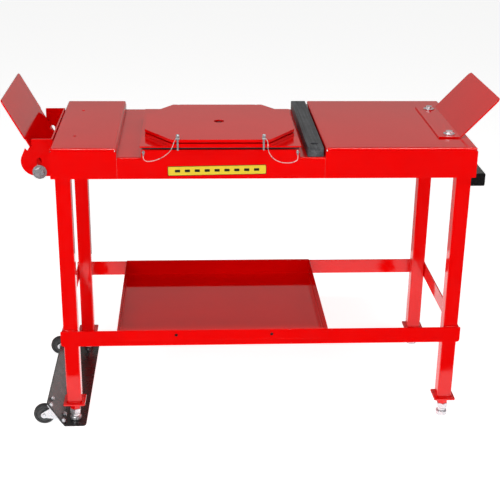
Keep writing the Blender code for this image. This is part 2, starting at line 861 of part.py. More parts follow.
def wing_bracket():
    """The channel on the left end: a web with an ear bent outward at each end, slotted for the wing's bolts."""
    web = box(
        "wing_bracket",
        (web_x, -WING_HALF, BRACKET_BOTTOM),
        (web_x + PLATE, WING_HALF, HEIGHT),
    )
    ears = []
    root = web_x + 0.002
    corners = [(EAR_LEFT, BRACKET_BOTTOM), (root, BRACKET_BOTTOM), (root, HEIGHT), (EAR_LEFT, HEIGHT)]
    outline = rounded(corners, [0.012, 0, 0, 0.003])
    opening = slot(PIVOT, (PIVOT[0], PIVOT[1] + SLOT_TRAVEL), PIVOT_RADIUS + 2 * GAP)
    for side in (-1, 1):
        middle = side * (WING_HALF - PLATE / 2)
        ears.append(plate("ear", [outline, opening], PLATE, upright_at(middle)))
    combine(web, "UNION", ears)
    keep(web, RED_PAINT)


def left_wing():
    """The adjustable wing: a leaning plate and two round arms that the pivot bolts pass through."""
    lean = LEFT_WING_LEAN
    along = Vector((-math.sin(lean), math.cos(lean)))
    outward = Vector((-along.y, along.x))
    inner = Vector(PIVOT) - outward * LEFT_WING_STANDOFF
    foot = inner - along * 0.010
    narrow = arm_half - 0.0008
    middle = foot + outward * PLATE / 2
    frame = Matrix(
        (
            (0.0, along.x, -outward.x, middle.x),
            (1.0, 0.0, 0.0, 0.0),
            (0.0, along.y, -outward.y, middle.y),
            (0.0, 0.0, 0.0, 1.0),
        )
    )
    shoulder, length = LEFT_WING_SHOULDER, LEFT_WING_LENGTH
    corners = [
        (-narrow, 0.0),
        (narrow, 0.0),
        (narrow, shoulder),
        (WING_HALF, shoulder + 0.003),
        (WING_HALF, length),
        (-WING_HALF, length),
        (-WING_HALF, shoulder + 0.003),
        (-narrow, shoulder),
    ]
    outline = rounded(corners, [0.004, 0.004, 0, 0.002, 0.012, 0.012, 0.002, 0])
    made = plate("left_wing", [outline], PLATE, frame)
    for side in (-1, 1):
        lower = foot + along * 0.002 + outward * 0.0024
        upper = foot + along * 0.101 + outward * 0.0024
        lobe = arc(LOBE_CENTRE, LOBE_RADIUS, 150, 298, 12)
        arm = plate(
            "arm",
            [
                [tuple(lower), tuple(upper)] + ARM_NOTCH + lobe,
                circle(PIVOT, PIVOT_RADIUS + GAP, 20),
            ],
            PLATE,
            upright_at(side * (arm_half - PLATE / 2)),
        )
        combine(made, "UNION", [arm])
    keep(put_origin(made, (PIVOT[0], 0.0, PIVOT[1])), RED_PAINT)


def wing_pivot_bolts():
    """A flanged bolt through each slot, in one piece with its nut inside the arm."""
    outside = WING_HALF + GAP
    inside = arm_half - PLATE - GAP
    for name, side in (("front", -1), ("rear", 1)):
        length = outside - inside + 0.016
        made = cylinder(
            "wing_bolt_" + name,
            (PIVOT[0], side * (outside + inside - 0.012) / 2, PIVOT[1]),
            PIVOT_RADIUS,
            length,
            "Y",
            24,
        )
        flange = cylinder("flange", (PIVOT[0], side * (outside + 0.0020), PIVOT[1]), 0.0240, 0.0040, "Y", 36)
        head = cylinder("head", (PIVOT[0], side * (outside + 0.0078), PIVOT[1]), 0.0165, 0.0092, "Y", 6)
        nut = cylinder("nut", (PIVOT[0], side * (inside - 0.0055), PIVOT[1]), 0.0125, 0.0110, "Y", 6)
        combine(made, "UNION", [flange, head, nut])
        keep(put_origin(made, (PIVOT[0], side * outside, PIVOT[1])), ZINC)


# Tipping casters


def caster_bracket():
    """A plate under the left feet, bent up and outward to carry the casters."""
    inner_end = (CASTER_INNER_X, 0.0)
    section = bent_section([inner_end, CASTER_FOLD, CASTER_SLOPE_TOP], [(0.004, 1)], -PLATE)
    made = plate("caster_bracket", [section], 2 * CASTER_BRACKET_HALF, upright_at(0.0))
    corners = corner_cuts(inner_end, CASTER_BRACKET_HALF, 0.0, 0.014)
    holes = [
        caster_bolt(y, along, side, CASTER_BOLT_RADIUS + GAP, -0.02, 0.02)
        for y in CASTER_Y
        for along, side in CASTER_BOLTS
    ]
    combine(made, "DIFFERENCE", corners + holes)
    keep(made, BLACK_PAINT)


def caster_bolt(y, along, side, radius, low, high, segments=16):
    """A cylinder square to the caster plate's slope, from low to high above the slope's outer face."""
    fold = Vector(CASTER_FOLD)
    slope = (Vector(CASTER_SLOPE_TOP) - fold).normalized()
    normal = Vector((slope.y, -slope.x))
    middle = fold + slope * along + normal * (low + high) / 2
    made = cylinder("bolt", (0.0, 0.0, 0.0), radius, high - low, "Z", segments)
    turn = Matrix.Rotation(math.atan2(normal.x, normal.y), 4, "Y")
    made.data.transform(Matrix.Translation((middle.x, y + side * 0.022, middle.y)) @ turn)
    return made


def caster(name, y):
    """A fork with its plate under the slope, a wheel on its axle: the wheel's own origin is on the axle."""
    fold = Vector(CASTER_FOLD)
    along = (Vector(CASTER_SLOPE_TOP) - fold).normalized()
    outward = Vector((-along.y, along.x))
    seat = fold + outward * GAP
    low = seat + along * 0.012
    high = seat + along * 0.104
    skin = CASTER_SHEET
    axle = Vector(CASTER_AXLE)
    flange = [tuple(low), tuple(high), tuple(high + outward * skin), tuple(low + outward * skin)]
    made = plate("caster_fork_" + name, [flange], 0.060, upright_at(y))
    for side in (-1, 1):
        root_low = seat + along * 0.024 + outward * 0.001
        root_high = seat + along * 0.082 + outward * 0.001
        around = math.degrees(math.atan2(-outward.y, -outward.x))
        nose = arc(tuple(axle), 0.0115, around + 90, around + 270, 8)
        outline = [tuple(root_low), tuple(root_high)] + nose
        cheek = plate(
            "cheek",
            [outline, circle(tuple(axle), 0.0040 + GAP, 20)],
            skin,
            upright_at(y + side * (CASTER_WIDTH / 2 + 0.0035)),
        )
        combine(made, "UNION", [cheek])
    for along_slope, side in CASTER_BOLTS:
        shank = caster_bolt(y, along_slope, side, CASTER_BOLT_RADIUS, -0.0020, PLATE + 0.0100, 12)
        nut = caster_bolt(y, along_slope, side, 0.0078, PLATE + GAP, PLATE + GAP + 0.0070, 6)
        combine(made, "UNION", [shank, nut])
    keep(made, ZINC)

    half = CASTER_WIDTH / 2
    tyre = [
        (0.0045, half + 0.0010),
        (0.0120, half + 0.0010),
        (0.0120, half - 0.0040),
        (0.0260, half - 0.0040),
        (0.0280, half),
        (CASTER_RADIUS - 0.0050, half),
        (CASTER_RADIUS - 0.0012, half - 0.0035),
        (CASTER_RADIUS, half - 0.0080),
        (CASTER_RADIUS, -half + 0.0080),
        (CASTER_RADIUS - 0.0012, -half + 0.0035),
        (CASTER_RADIUS - 0.0050, -half),
        (0.0280, -half),
        (0.0260, -half + 0.0040),
        (0.0120, -half + 0.0040),
        (0.0120, -half - 0.0010),
        (0.0045, -half - 0.0010),
        (0.0045, half + 0.0010),
    ]
    place = (CASTER_AXLE[0], y, CASTER_AXLE[1])
    keep(turned("caster_wheel_" + name, tyre, place, "Y", 40), RUBBER)

    end = CASTER_WIDTH / 2 + 0.0035 + skin / 2 + GAP
    pin = [
        (0.0, end + 0.0040),
        (0.0060, end + 0.0040),
        (0.0068, end),
        (0.0040, end),
        (0.0040, -end),
        (0.0068, -end),
        (0.0060, -end - 0.0040),
        (0.0, -end - 0.0040),
    ]
    keep(turned("caster_axle_" + name, pin, place, "Y", 20), ZINC)


def handle():
    """The black bar across the right end, with a flat bracket on each leg and a cap in each end."""
    low_x, high_x = HANDLE_X - 0.0015, HANDLE_X + HANDLE_OUT
    low_z, high_z = HANDLE_Z
    bar = rounded_box(
        "lift_handle",
        (low_x, -HANDLE_HALF, low_z),
        (high_x, HANDLE_HALF, high_z),
        lambda edge: abs(edge.verts[0].co.y - edge.verts[1].co.y) > 0.1,
        0.004,
        3,
    )
    bore = box(
        "bore",
        (low_x + HANDLE_WALL, -HANDLE_HALF - 0.01, low_z + HANDLE_WALL),
        (high_x - HANDLE_WALL, HANDLE_HALF + 0.01, high_z - HANDLE_WALL),
    )
    combine(bar, "DIFFERENCE", [bore])
    keep(bar, BLACK_PAINT)
    for name, side in (("front", -1), ("rear", 1)):
        near, far = sorted((side * 0.2150, side * (HANDLE_HALF + 0.0030)))
        bracket = box(
            "handle_bracket_" + name,
            (leg_outer_x + GAP, near, low_z),
            (low_x - GAP, far, high_z),
        )
        keep(bracket, BLACK_PAINT)
        cap = rounded_box(
            "handle_cap_" + name,
            (low_x, -0.0015, low_z),
            (high_x, 0.0015, high_z),
            lambda edge: abs(edge.verts[0].co.y - edge.verts[1].co.y) > 0.001,
            0.004,
            3,
        )
        cap.location = (0.0, side * (HANDLE_HALF + GAP + 0.0015), 0.0)
        keep(cap, BLACK_PAINT)


deck("left_deck", -half_length, LEFT_RISER_X, -1, 1, -0.635, 0.0060)
deck("right_deck", RIGHT_RISER_X, half_length, 1, -1, RIGHT_BOLT_X, RIGHT_BOLT_RADIUS + GAP)
centre_deck()
for corner_name, (corner_x, corner_y) in CORNERS.items():
    leg(corner_name, corner_x, corner_y)
    foot_plate(corner_name, corner_x, corner_y)
    foot_nut(corner_name, corner_x, corner_y)
    levelling_foot(corner_name, corner_x, corner_y)
rails()
tray()
tray_screws()
turntable()
lock_pins()
lanyards()
cross_bar()
right_wing()
right_wing_bolts()
wing_bracket()
left_wing()
wing_pivot_bolts()
caster_bracket()
for caster_name, caster_y in zip(("front", "rear"), CASTER_Y):
    caster(caster_name, caster_y)
handle()

# The stand's own middle is between its legs; the wings reach further to the left, so everything moves right.
origin = bpy.data.objects.new("stand_origin", None)
origin.location = (ORIGIN_SHIFT_X, 0.0, 0.0)
bpy.context.scene.collection.objects.link(origin)
for piece in list(parts.objects) + list(cutters.objects):
    piece.parent = origin
bpy.context.view_layer.update()
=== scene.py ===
"""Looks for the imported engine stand: camera, studio, paint, zinc and the small hardware on it."""

import math

import bmesh
import bpy
from mathutils import Matrix, Vector


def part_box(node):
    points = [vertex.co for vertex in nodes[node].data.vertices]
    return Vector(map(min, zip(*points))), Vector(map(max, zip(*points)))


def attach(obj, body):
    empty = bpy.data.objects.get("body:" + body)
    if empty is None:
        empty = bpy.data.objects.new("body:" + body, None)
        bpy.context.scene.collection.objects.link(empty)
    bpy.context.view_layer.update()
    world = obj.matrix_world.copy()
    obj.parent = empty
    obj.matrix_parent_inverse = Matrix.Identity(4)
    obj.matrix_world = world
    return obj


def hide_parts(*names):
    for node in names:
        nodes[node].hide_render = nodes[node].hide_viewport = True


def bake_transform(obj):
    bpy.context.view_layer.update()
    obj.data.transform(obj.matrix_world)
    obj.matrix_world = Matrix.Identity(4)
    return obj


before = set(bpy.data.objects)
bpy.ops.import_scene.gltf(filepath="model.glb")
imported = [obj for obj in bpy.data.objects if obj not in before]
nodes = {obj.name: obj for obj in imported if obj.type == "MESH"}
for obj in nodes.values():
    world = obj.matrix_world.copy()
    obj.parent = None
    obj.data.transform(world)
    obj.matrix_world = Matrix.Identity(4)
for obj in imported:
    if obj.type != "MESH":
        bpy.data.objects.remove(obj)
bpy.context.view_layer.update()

# How far the model's origin is from the middle of its legs, in metres.
SHIFT_X = 0.036198

# Camera, from the photograph's perspective.
CAMERA_AT = Vector((-0.249155 + SHIFT_X, -3.715337, 2.039299))
CAMERA_YAW = math.radians(3.3944)
CAMERA_PITCH = math.radians(21.9741)
CAMERA_ROLL = math.radians(0.8303)
CAMERA_LENS = 77.946


def make_camera():
    forward = Vector(
        (
            math.sin(CAMERA_YAW) * math.cos(CAMERA_PITCH),
            math.cos(CAMERA_YAW) * math.cos(CAMERA_PITCH),
            -math.sin(CAMERA_PITCH),
        )
    )
    level = Vector((math.cos(CAMERA_YAW), -math.sin(CAMERA_YAW), 0.0))
    above = level.cross(forward)
    right = math.cos(CAMERA_ROLL) * level + math.sin(CAMERA_ROLL) * above
    up = -math.sin(CAMERA_ROLL) * level + math.cos(CAMERA_ROLL) * above
    data = bpy.data.cameras.new("camera")
    data.sensor_width = 36.0
    data.lens = CAMERA_LENS
    data.clip_start = 0.05
    data.clip_end = 200.0
    camera = bpy.data.objects.new("camera", data)
    camera.matrix_world = Matrix(
        (
            (right.x, up.x, -forward.x, CAMERA_AT.x),
            (right.y, up.y, -forward.y, CAMERA_AT.y),
            (right.z, up.z, -forward.z, CAMERA_AT.z),
            (0.0, 0.0, 0.0, 1.0),
        )
    )
    bpy.context.scene.collection.objects.link(camera)
    bpy.context.scene.camera = camera


make_camera()


# Lanyards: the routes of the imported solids, around the middle of the legs

CABLE_RADIUS = 0.0012
CABLE_RING_SPACING = 0.0012
STRAND_LAY = 0.014
# Heights for a cable's low and high ends; make_lanyard sets them on two points and then uses neither, so
# the cable follows neither the stand nor its pin.
BLEND_HEIGHTS = (1.0050, 1.0580)
LANYARD_ROUTES = {
    "left": [
        (-0.4000, -0.3263, 1.0016),
        (-0.4000, -0.3275, 0.9960),
        (-0.3965, -0.3290, 0.9885),
        (-0.3850, -0.3305, 0.9845),
        (-0.3650, -0.3330, 0.9880),
        (-0.3430, -0.3395, 0.9985),
        (-0.3220, -0.3480, 1.0150),
        (-0.3080, -0.3530, 1.0330),
        (-0.3010, -0.3485, 1.0500),
        (-0.2953, -0.3383, 1.0608),
        (-0.2907, -0.3315, 1.0610),
    ],
    "right": [
        (0.1040, -0.3263, 1.0016),
        (0.1045, -0.3275, 0.9950),
        (0.1010, -0.3290, 0.9860),
        (0.0880, -0.3305, 0.9800),
        (0.0700, -0.3325, 0.9785),
        (0.0480, -0.3365, 0.9825),
        (0.0260, -0.3430, 0.9950),
        (0.0100, -0.3500, 1.0150),
        (0.0040, -0.3530, 1.0350),
        (0.0035, -0.3485, 1.0510),
        (-0.0007, -0.3383, 1.0608),
        (-0.0053, -0.3315, 1.0610),
    ],
}


def smooth_route(points, spacing):
    """A Catmull-Rom curve through the points, read off about every spacing metres."""
    stops = [Vector(point) for point in points]
    stops = [stops[0] * 2 - stops[1]] + stops + [stops[-1] * 2 - stops[-2]]
    route = [stops[1]]
    for index in range(1, len(stops) - 2):
        a, b, c, d = stops[index - 1 : index + 3]
        steps = max(2, round((c - b).length / spacing))
        for step in range(1, steps + 1):
            t = step / steps
            square = (2 * a - 5 * b + 4 * c - d) * t**2
            cube = (3 * b - a - 3 * c + d) * t**3
            route.append(0.5 * (2 * b + (c - a) * t + square + cube))
    return route


def linked(name, bm, smooth=True):
    mesh = bpy.data.meshes.new(name)
    bm.to_mesh(mesh)
    bm.free()
    piece = bpy.data.objects.new(name, mesh)
    bpy.context.scene.collection.objects.link(piece)
    if smooth:
        mesh.shade_smooth()
    return piece


def swept(name, routes, radius_at, sides=12, closed=False):
    """Tubes along the routes, in one mesh: radius_at gives the radius at a distance and an angle."""
    bm = bmesh.new()
    for route in routes:
        points = [Vector(point) for point in route]
        count = len(points)
        normal = None
        along = 0.0
        rings = []
        for index, point in enumerate(points):
            ahead = points[(index + 1) % count] if closed else points[min(index + 1, count - 1)]
            back = points[index - 1] if closed or index else point
            tangent = (ahead - back).normalized()
            if normal is None:
                normal = tangent.orthogonal()
            normal = (normal - tangent * normal.dot(tangent)).normalized()
            side = tangent.cross(normal)
            ring = []
            for turn in range(sides):
                angle = 2 * math.pi * turn / sides
                reach = normal * math.cos(angle) + side * math.sin(angle)
                ring.append(bm.verts.new(point + reach * radius_at(along, angle)))
            rings.append(ring)
            along += (ahead - point).length
        pairs = list(zip(rings, rings[1:]))
        if closed:
            pairs.append((rings[-1], rings[0]))
        for first, second in pairs:
            for turn in range(sides):
                onward = (turn + 1) % sides
                bm.faces.new((first[turn], first[onward], second[onward], second[turn]))
        if not closed:
            bm.faces.new(rings[0][::-1])
            bm.faces.new(rings[-1])
    bmesh.ops.recalc_face_normals(bm, faces=bm.faces)
    return linked(name, bm)


def strands(along, angle):
    """Six wires laid round each other, one turn in every 14 mm."""
    wave = math.cos(3 * angle + 2 * math.pi * along / STRAND_LAY * 3)
    return CABLE_RADIUS * (0.86 + 0.14 * abs(wave))


def make_lanyard(side):
    """A cable from the stand to a pin, swept along its route in place of the imported lanyard."""
    points = [(x + SHIFT_X, y, z) for x, y, z in LANYARD_ROUTES[side]]
    route = smooth_route(points, CABLE_RING_SPACING)
    cable = swept("cable_" + side, [route], strands, 18)
    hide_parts("lanyard_" + side)
    low, high = Vector(points[-1]), Vector(points[-1])
    low.z, high.z = BLEND_HEIGHTS
    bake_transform(cable)
    return cable


cables = [make_lanyard(side) for side in LANYARD_ROUTES]


# Studio

SURROUNDINGS = (0.02, 0.02, 0.02, 1.0)
WALL = (0.43, 0.43, 0.41, 1.0)
WHITE = (1.0, 1.0, 1.0, 1.0)
# Between these parts of a direction the wall fades in: by Y past the sides, by Z down from its top.
WALL_SIDES = (-0.1, 0.4)
WALL_TOP = (0.72, 0.40)

FLOOR_COLOUR = (0.90, 0.90, 0.90, 1.0)
FLOOR_GLOW = 0.84
# Half the width, the front and rear edges and the height of each, in metres.
GROUND = {
    "floor": (40.0, -40.0, 40.0, -0.002),
    "sheet": (1.5, -0.66, 1.3, -0.0005),
}


def make_world():
    """A dim studio with a bright wall low down behind the stand, for the grey sheen on its level faces.

    The backdrop itself is plain white where it is seen past the floor.
    """
    world = bpy.data.worlds.new("studio")
    bpy.context.scene.world = world
    world.use_nodes = True
    tree = world.node_tree
    tree.nodes.clear()
    place = tree.nodes.new("ShaderNodeTexCoord")
    split = tree.nodes.new("ShaderNodeSeparateXYZ")
    behind = tree.nodes.new("ShaderNodeMapRange")
    low = tree.nodes.new("ShaderNodeMapRange")
    wall = tree.nodes.new("ShaderNodeMath")
    colour = tree.nodes.new("ShaderNodeMixRGB")
    background = tree.nodes.new("ShaderNodeBackground")
    backdrop = tree.nodes.new("ShaderNodeBackground")
    seen = tree.nodes.new("ShaderNodeLightPath")
    either = tree.nodes.new("ShaderNodeMixShader")
    output = tree.nodes.new("ShaderNodeOutputWorld")
    for fade, (first, last) in ((behind, WALL_SIDES), (low, WALL_TOP)):
        fade.inputs["From Min"].default_value = first
        fade.inputs["From Max"].default_value = last
    wall.operation = "MULTIPLY"
    colour.inputs["Color1"].default_value = SURROUNDINGS
    colour.inputs["Color2"].default_value = WALL
    tree.links.new(place.outputs["Generated"], split.inputs[0])
    tree.links.new(split.outputs["Y"], behind.inputs["Value"])
    tree.links.new(split.outputs["Z"], low.inputs["Value"])
    tree.links.new(behind.outputs["Result"], wall.inputs[0])
    tree.links.new(low.outputs["Result"], wall.inputs[1])
    tree.links.new(wall.outputs["Value"], colour.inputs["Fac"])
    tree.links.new(colour.outputs["Color"], background.inputs["Color"])
    backdrop.inputs["Color"].default_value = WHITE
    tree.links.new(seen.outputs["Is Camera Ray"], either.inputs["Fac"])
    tree.links.new(background.outputs["Background"], either.inputs[1])
    tree.links.new(backdrop.outputs["Background"], either.inputs[2])
    tree.links.new(either.outputs["Shader"], output.inputs["Surface"])


def area_light(name, place, target, size, power, height=None):
    data = bpy.data.lights.new(name, "AREA")
    data.energy = power
    data.size = size
    if height is not None:
        data.shape = "RECTANGLE"
        data.size_y = height
    light = bpy.data.objects.new(name, data)
    light.location = place
    light.rotation_euler = (Vector(target) - Vector(place)).to_track_quat("-Z", "Y").to_euler()
    bpy.context.scene.collection.objects.link(light)


def make_floor():
    """A wide floor that the paint doesn't mirror, and on it a sheet of the same white that it does."""
    made = bpy.data.materials.new("pale_floor")
    made.use_nodes = True
    shader = made.node_tree.nodes["Principled BSDF"]
    shader.inputs["Base Color"].default_value = FLOOR_COLOUR
    shader.inputs["Roughness"].default_value = 0.9
    shader.inputs["Specular IOR Level"].default_value = 0.0
    shader.inputs["Emission Color"].default_value = WHITE
    shader.inputs["Emission Strength"].default_value = FLOOR_GLOW
    for name, (half_x, front, rear, z) in GROUND.items():
        mesh = bpy.data.meshes.new(name)
        corners = [(-half_x, front, z), (half_x, front, z), (half_x, rear, z), (-half_x, rear, z)]
        mesh.from_pydata(corners, [], [(0, 1, 2, 3)])
        mesh.materials.append(made)
        ground = bpy.data.objects.new(name, mesh)
        ground.visible_glossy = name == "sheet"
        bpy.context.scene.collection.objects.link(ground)


make_world()
make_floor()
area_light("key", (-2.6, -4.4, 2.6), (0.0, 0.0, 0.8), size=2.2, power=84.0)
area_light("fill", (3.0, -4.6, 2.0), (0.0, 0.0, 0.7), size=2.2, power=48.0)
area_light("strip", (0.0, -0.9, 3.6), (0.0, -0.3, 0.8), size=4.5, power=52.0, height=0.2)
bpy.context.scene.view_settings.view_transform = "Standard"
bpy.context.scene.view_settings.look = "None"


# Materials


def new_material(name):
    made = bpy.data.materials.new(name)
    made.use_nodes = True
    return made, made.node_tree, made.node_tree.nodes["Principled BSDF"]


def noise_node(tree, coordinates, scale, detail=3.0, roughness=0.5):
    node = tree.nodes.new("ShaderNodeTexNoise")
    node.inputs["Scale"].default_value = scale
    node.inputs["Detail"].default_value = detail
    node.inputs["Roughness"].default_value = roughness
    tree.links.new(coordinates, node.inputs["Vector"])
    return node.outputs["Fac"]


def ranged(tree, value, low, high, from_low=0.3, from_high=0.7):
    node = tree.nodes.new("ShaderNodeMapRange")
    node.inputs["From Min"].default_value = from_low
    node.inputs["From Max"].default_value = from_high
    node.inputs["To Min"].default_value = low
    node.inputs["To Max"].default_value = high
    tree.links.new(value, node.inputs["Value"])
    return node.outputs["Result"]


def two_tone(tree, value, first, second, from_low=0.3, from_high=0.7):
    ramp = tree.nodes.new("ShaderNodeValToRGB")
    ramp.color_ramp.elements[0].position = from_low
    ramp.color_ramp.elements[0].color = (*first, 1.0)
    ramp.color_ramp.elements[1].position = from_high
    ramp.color_ramp.elements[1].color = (*second, 1.0)
    tree.links.new(value, ramp.inputs["Fac"])
    return ramp.outputs["Color"]


def bump(tree, shader, height, strength, distance):
    node = tree.nodes.new("ShaderNodeBump")
    node.inputs["Strength"].default_value = strength
    node.inputs["Distance"].default_value = distance
    tree.links.new(height, node.inputs["Height"])
    tree.links.new(node.outputs["Normal"], shader.inputs["Normal"])


def object_coordinates(tree):
    return tree.nodes.new("ShaderNodeTexCoord").outputs["Object"]


def powder_coat(name, light, deep, rough_low, rough_high, peel):
    """Powder coat: faint flow in the colour, orange peel, and smudges that change the gloss."""
    made, tree, shader = new_material(name)
    at = object_coordinates(tree)
    flow = noise_node(tree, at, 5.0, 4.0)
    smudge = noise_node(tree, at, 22.0, 5.0, 0.6)
    skin = noise_node(tree, at, 420.0, 2.0)
    tree.links.new(two_tone(tree, flow, deep, light), shader.inputs["Base Color"])
    tree.links.new(ranged(tree, smudge, rough_low, rough_high), shader.inputs["Roughness"])
    bump(tree, shader, skin, peel, 0.0003)
    return made


def zinc(
    name,
    rough_low=0.16,
    rough_high=0.34,
    light=(0.78, 0.79, 0.81),
    deep=(0.58, 0.60, 0.64),
    metallic=0.65,
):
    """Zinc plate: soft stains and a fine grain, and a milky passivation that is partly diffuse."""
    made, tree, shader = new_material(name)
    at = object_coordinates(tree)
    stain = noise_node(tree, at, 60.0, 4.0, 0.6)
    grain = noise_node(tree, at, 900.0, 2.0)
    tree.links.new(two_tone(tree, stain, deep, light), shader.inputs["Base Color"])
    tree.links.new(ranged(tree, stain, rough_high, rough_low), shader.inputs["Roughness"])
    shader.inputs["Metallic"].default_value = metallic
    bump(tree, shader, grain, 0.06, 0.0001)
    return made


def drawn_black(name):
    """Thin dark coating over drawn bar stock: fine lines along Y show through, greyer where worn."""
    made, tree, shader = new_material(name)
    at = object_coordinates(tree)
    stretched = tree.nodes.new("ShaderNodeMapping")
    stretched.inputs["Scale"].default_value = (260.0, 5.0, 260.0)
    tree.links.new(at, stretched.inputs["Vector"])
    lines = noise_node(tree, stretched.outputs["Vector"], 1.0, 3.0, 0.6)
    worn = noise_node(tree, at, 26.0, 5.0, 0.65)
    both = tree.nodes.new("ShaderNodeMath")
    both.operation = "MULTIPLY"
    tree.links.new(lines, both.inputs[0])
    tree.links.new(worn, both.inputs[1])
    coated, bare = (0.034, 0.035, 0.040), (0.125, 0.130, 0.140)
    colour = two_tone(tree, both.outputs["Value"], coated, bare, 0.16, 0.36)
    tree.links.new(colour, shader.inputs["Base Color"])
    tree.links.new(ranged(tree, worn, 0.42, 0.56), shader.inputs["Roughness"])
    bump(tree, shader, lines, 0.25, 0.0003)
    return made


def rubber(name, light=(0.045, 0.045, 0.047), deep=(0.025, 0.025, 0.027)):
    """Moulded tyre rubber: dark, matt, with dust in its pores."""
    made, tree, shader = new_material(name)
    at = object_coordinates(tree)
    dust = noise_node(tree, at, 70.0, 5.0, 0.65)
    pores = noise_node(tree, at, 700.0, 3.0)
    tree.links.new(two_tone(tree, dust, deep, light), shader.inputs["Base Color"])
    tree.links.new(ranged(tree, dust, 0.5, 0.7), shader.inputs["Roughness"])
    bump(tree, shader, pores, 0.15, 0.0002)
    return made


red_paint = powder_coat(
    "red_powder_coat",
    light=(0.84, 0.0005, 0.0004),
    deep=(0.79, 0.0004, 0.0004),
    rough_low=0.045,
    rough_high=0.10,
    peel=0.025,
)
black_paint = powder_coat(
    "black_powder_coat",
    light=(0.012, 0.012, 0.013),
    deep=(0.007, 0.007, 0.008),
    rough_low=0.22,
    rough_high=0.32,
    peel=0.10,
)
bar_paint = drawn_black("bar_black")
bright_zinc = zinc("bright_zinc")
# Near-black steel: the thrust bearing's own dark finish, and painted shade on the pivot pin's head and the
# tray screws, darkened to stand for the shade in the hole and recesses around them.
dark_steel_and_painted_shade = zinc(
    "dark_steel_and_painted_shade",
    rough_low=0.3,
    rough_high=0.45,
    light=(0.05, 0.05, 0.055),
    deep=(0.02, 0.02, 0.022),
    metallic=1.0,
)
tyre_rubber = rubber("tyre_rubber")
hub_plastic = powder_coat(
    "hub_plastic",
    light=(0.050, 0.050, 0.053),
    deep=(0.032, 0.032, 0.034),
    rough_low=0.35,
    rough_high=0.5,
    peel=0.1,
)
cable_steel = zinc(
    "cable_steel",
    rough_low=0.22,
    rough_high=0.4,
    light=(0.92, 0.90, 0.88),
    deep=(0.74, 0.72, 0.70),
)
label_yellow = powder_coat(
    "label_yellow",
    light=(0.82, 0.62, 0.02),
    deep=(0.76, 0.56, 0.02),
    rough_low=0.28,
    rough_high=0.4,
    peel=0.04,
)
label_black = powder_coat(
    "label_black",
    light=(0.014, 0.014, 0.014),
    deep=(0.009, 0.009, 0.009),
    rough_low=0.3,
    rough_high=0.45,
    peel=0.04,
)

BLACK_NODES = {
    "caster_bracket",
    "lift_handle",
    "handle_bracket_front",
    "handle_bracket_rear",
    "handle_cap_front",
    "handle_cap_rear",
}
ZINC_WORDS = ("bolt", "nut", "screw", "pin", "fork", "axle", "anchor", "levelling", "lanyard")
# The rest keep the CAD's edges: pins, cables and their anchors, wheels, axles, bearing and levelling feet.
SOFT_EDGED = (
    "left_deck",
    "centre_deck",
    "right_deck",
    "leg",
    "lower_rail",
    "tray",
    "index_plate",
    "turntable",
    "foot_plate",
    "foot_nut",
    "cross_bar",
    "right_wing",
    "left_wing",
    "wing_bracket",
    "wing_bolt",
    "caster_bracket",
    "caster_fork",
    "lift_handle",
    "handle",
)
EDGE_WIDTH = 0.0006


def finish_for(name):
    if name == "cross_bar":
        return bar_paint
    if name in BLACK_NODES:
        return black_paint
    if name.startswith("caster_wheel"):
        return tyre_rubber
    # The pivot pin and the tray screws get the near-black finish as painted shade of their hole and
    # recesses; the thrust bearing's dark is its own.
    if name in ("thrust_bearing", "pivot_pin") or name.startswith("tray_screw"):
        return dark_steel_and_painted_shade
    if any(word in name for word in ZINC_WORDS):
        return bright_zinc
    return red_paint


def soften_edges(piece, width):
    """A small rounded edge on a carried-over piece, so that it catches the light."""
    weld = piece.modifiers.new("weld", "WELD")
    weld.merge_threshold = 0.00001
    edge = piece.modifiers.new("edge", "BEVEL")
    edge.width = width
    edge.segments = 2
    edge.limit_method = "ANGLE"
    edge.angle_limit = math.radians(40)
    edge.use_clamp_overlap = True
    normals = piece.modifiers.new("normals", "WEIGHTED_NORMAL")
    normals.keep_sharp = True
    normals.weight = 50


for node_name, node in nodes.items():
    node.data.materials.clear()
    node.data.materials.append(finish_for(node_name))
    node.data.shade_smooth()
    if node_name.startswith(SOFT_EDGED):
        soften_edges(node, EDGE_WIDTH)


# Small hardware

# How far a bead's middle stands off the leg and above a rail or a plate, and stops from a corner.
RAIL_WELD_OUT = 0.0012
RAIL_WELD_UP = 0.0006
PLATE_WELD_OUT = 0.0006
PLATE_WELD_UP = 0.0008
WELD_STOP = 0.006
WELD_RIPPLE = 0.0026

RING_RADIUS = 0.0057
RING_WIRE = 0.0010
RING_Z = 1.0611

# Where the strip of painted shade in the slot sits: behind the lip, below the base, and short of the
# base's ends.
SHADE_STRIP_BEHIND_LIP = 0.0105
SHADE_STRIP_BELOW_BASE = 0.0042
SHADE_STRIP_STOP = 0.006

LABEL_LOW = (-0.1623, -0.0165)
LABEL_HIGH = (0.1623, 0.0165)
LABEL_BORDER = 0.0018
LABEL_X = -0.1597 + SHIFT_X
LABEL_Z = 0.9495
LABEL_LEAN = math.radians(-1.0)
# From the label's back to its front: the black base, the yellow face on it and the blocks on that.
LABEL_DEPTHS = (0.0, -0.0003, -0.0004, -0.0005)
BLOCK_COUNT = 9
BLOCK_FIRST_X = -0.130
BLOCK_PITCH = 0.0325
BLOCK_HALF_X, BLOCK_HALF_Z = 0.0085, 0.0045

HUB_STEPS = 48
HUB_FACE_Y = 0.0080
# Radius and rise of each ring of a hub, from its bore outwards, and the rings that carry the ribs.
HUB_PROFILE = [
    (0.0118, 0.0),
    (0.0118, 0.0012),
    (0.0135, 0.0030),
    (0.0170, 0.0014),
    (0.0225, 0.0014),
    (0.0262, 0.0030),
    (0.0262, 0.0),
]
RIBBED_RINGS = (3, 4)
RIB_RISE = 0.0012

